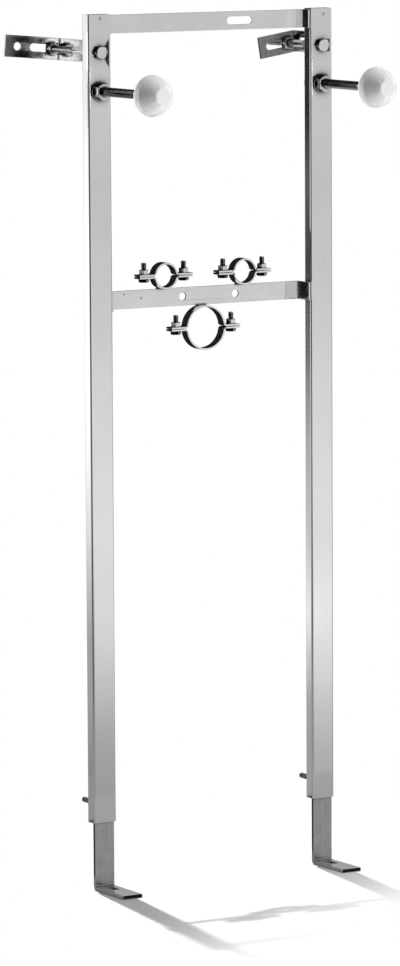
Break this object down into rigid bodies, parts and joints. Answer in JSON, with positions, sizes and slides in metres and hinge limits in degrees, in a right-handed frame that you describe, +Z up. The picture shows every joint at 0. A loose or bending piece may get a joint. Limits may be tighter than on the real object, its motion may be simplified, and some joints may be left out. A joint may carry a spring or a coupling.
{
  "type": "wall hung washbasin mounting frame",
  "caption": "Upright steel frame that carries a wall-hung washbasin, with capped studs, a bar of pipe clamps, wall brackets and feet that slide in the posts.",
  "frame": {"origin": "middle of the top bar's back face, which is flush with the back of the posts", "axes": "+X to the right seen from the front, +Y towards the wall, +Z up along the posts"},
  "size_m": [0.3606, 0.245, 0.9516],
  "materials": {
    "post_steel": "bright zinc plate",
    "bar_steel": "bright zinc plate",
    "foot_steel": "zinc plate",
    "bracket_steel": "zinc plate",
    "clamp_steel": "bright zinc plate",
    "fastener_steel": "bright zinc plate",
    "stud_steel": "zinc-plated thread",
    "cap_plastic": "satin white"
  },
  "bodies": {
    "frame": {"top_bar": "bar_steel", "clamp_bar": "bar_steel", "left_post": "post_steel", "left_foot_lock_screw": "fastener_steel", "left_foot_lock_nut": "fastener_steel", "left_wall_bracket": "bracket_steel", "left_bracket_bolt": "fastener_steel", "left_bracket_nut": "fastener_steel", "left_bracket_washer": "fastener_steel", "left_stud": "stud_steel", "left_stud_washer": "fastener_steel", "left_stud_front_nut": "fastener_steel", "left_stud_back_nut": "fastener_steel", "left_stud_cap": "cap_plastic", "right_post": "post_steel", "right_foot_lock_screw": "fastener_steel", "right_foot_lock_nut": "fastener_steel", "right_wall_bracket": "bracket_steel", "right_bracket_bolt": "fastener_steel", "right_bracket_nut": "fastener_steel", "right_bracket_washer": "fastener_steel", "right_stud": "stud_steel", "right_stud_washer": "fastener_steel", "right_stud_front_nut": "fastener_steel", "right_stud_back_nut": "fastener_steel", "right_stud_cap": "cap_plastic", "left_supply_clamp_upper_half": "clamp_steel", "left_supply_clamp_lower_half": "clamp_steel", "left_supply_clamp_bolts": "fastener_steel", "left_supply_clamp_nuts": "fastener_steel", "right_supply_clamp_upper_half": "clamp_steel", "right_supply_clamp_lower_half": "clamp_steel", "right_supply_clamp_bolts": "fastener_steel", "right_supply_clamp_nuts": "fastener_steel", "waste_clamp_upper_half": "clamp_steel", "waste_clamp_lower_half": "clamp_steel", "waste_clamp_bolts": "fastener_steel", "waste_clamp_nuts": "fastener_steel"},
    "left_foot": {"left_foot": "foot_steel"},
    "right_foot": {"right_foot": "foot_steel"}
  },
  "joints": [
    {"name": "left_foot_slide", "type": "slide", "parent": "frame", "child": "left_foot", "axis": [0, 0, -1], "range_m": [-0.06, 0.15]},
    {"name": "right_foot_slide", "type": "slide", "parent": "frame", "child": "right_foot", "axis": [0, 0, -1], "range_m": [-0.06, 0.15]}
  ]
}
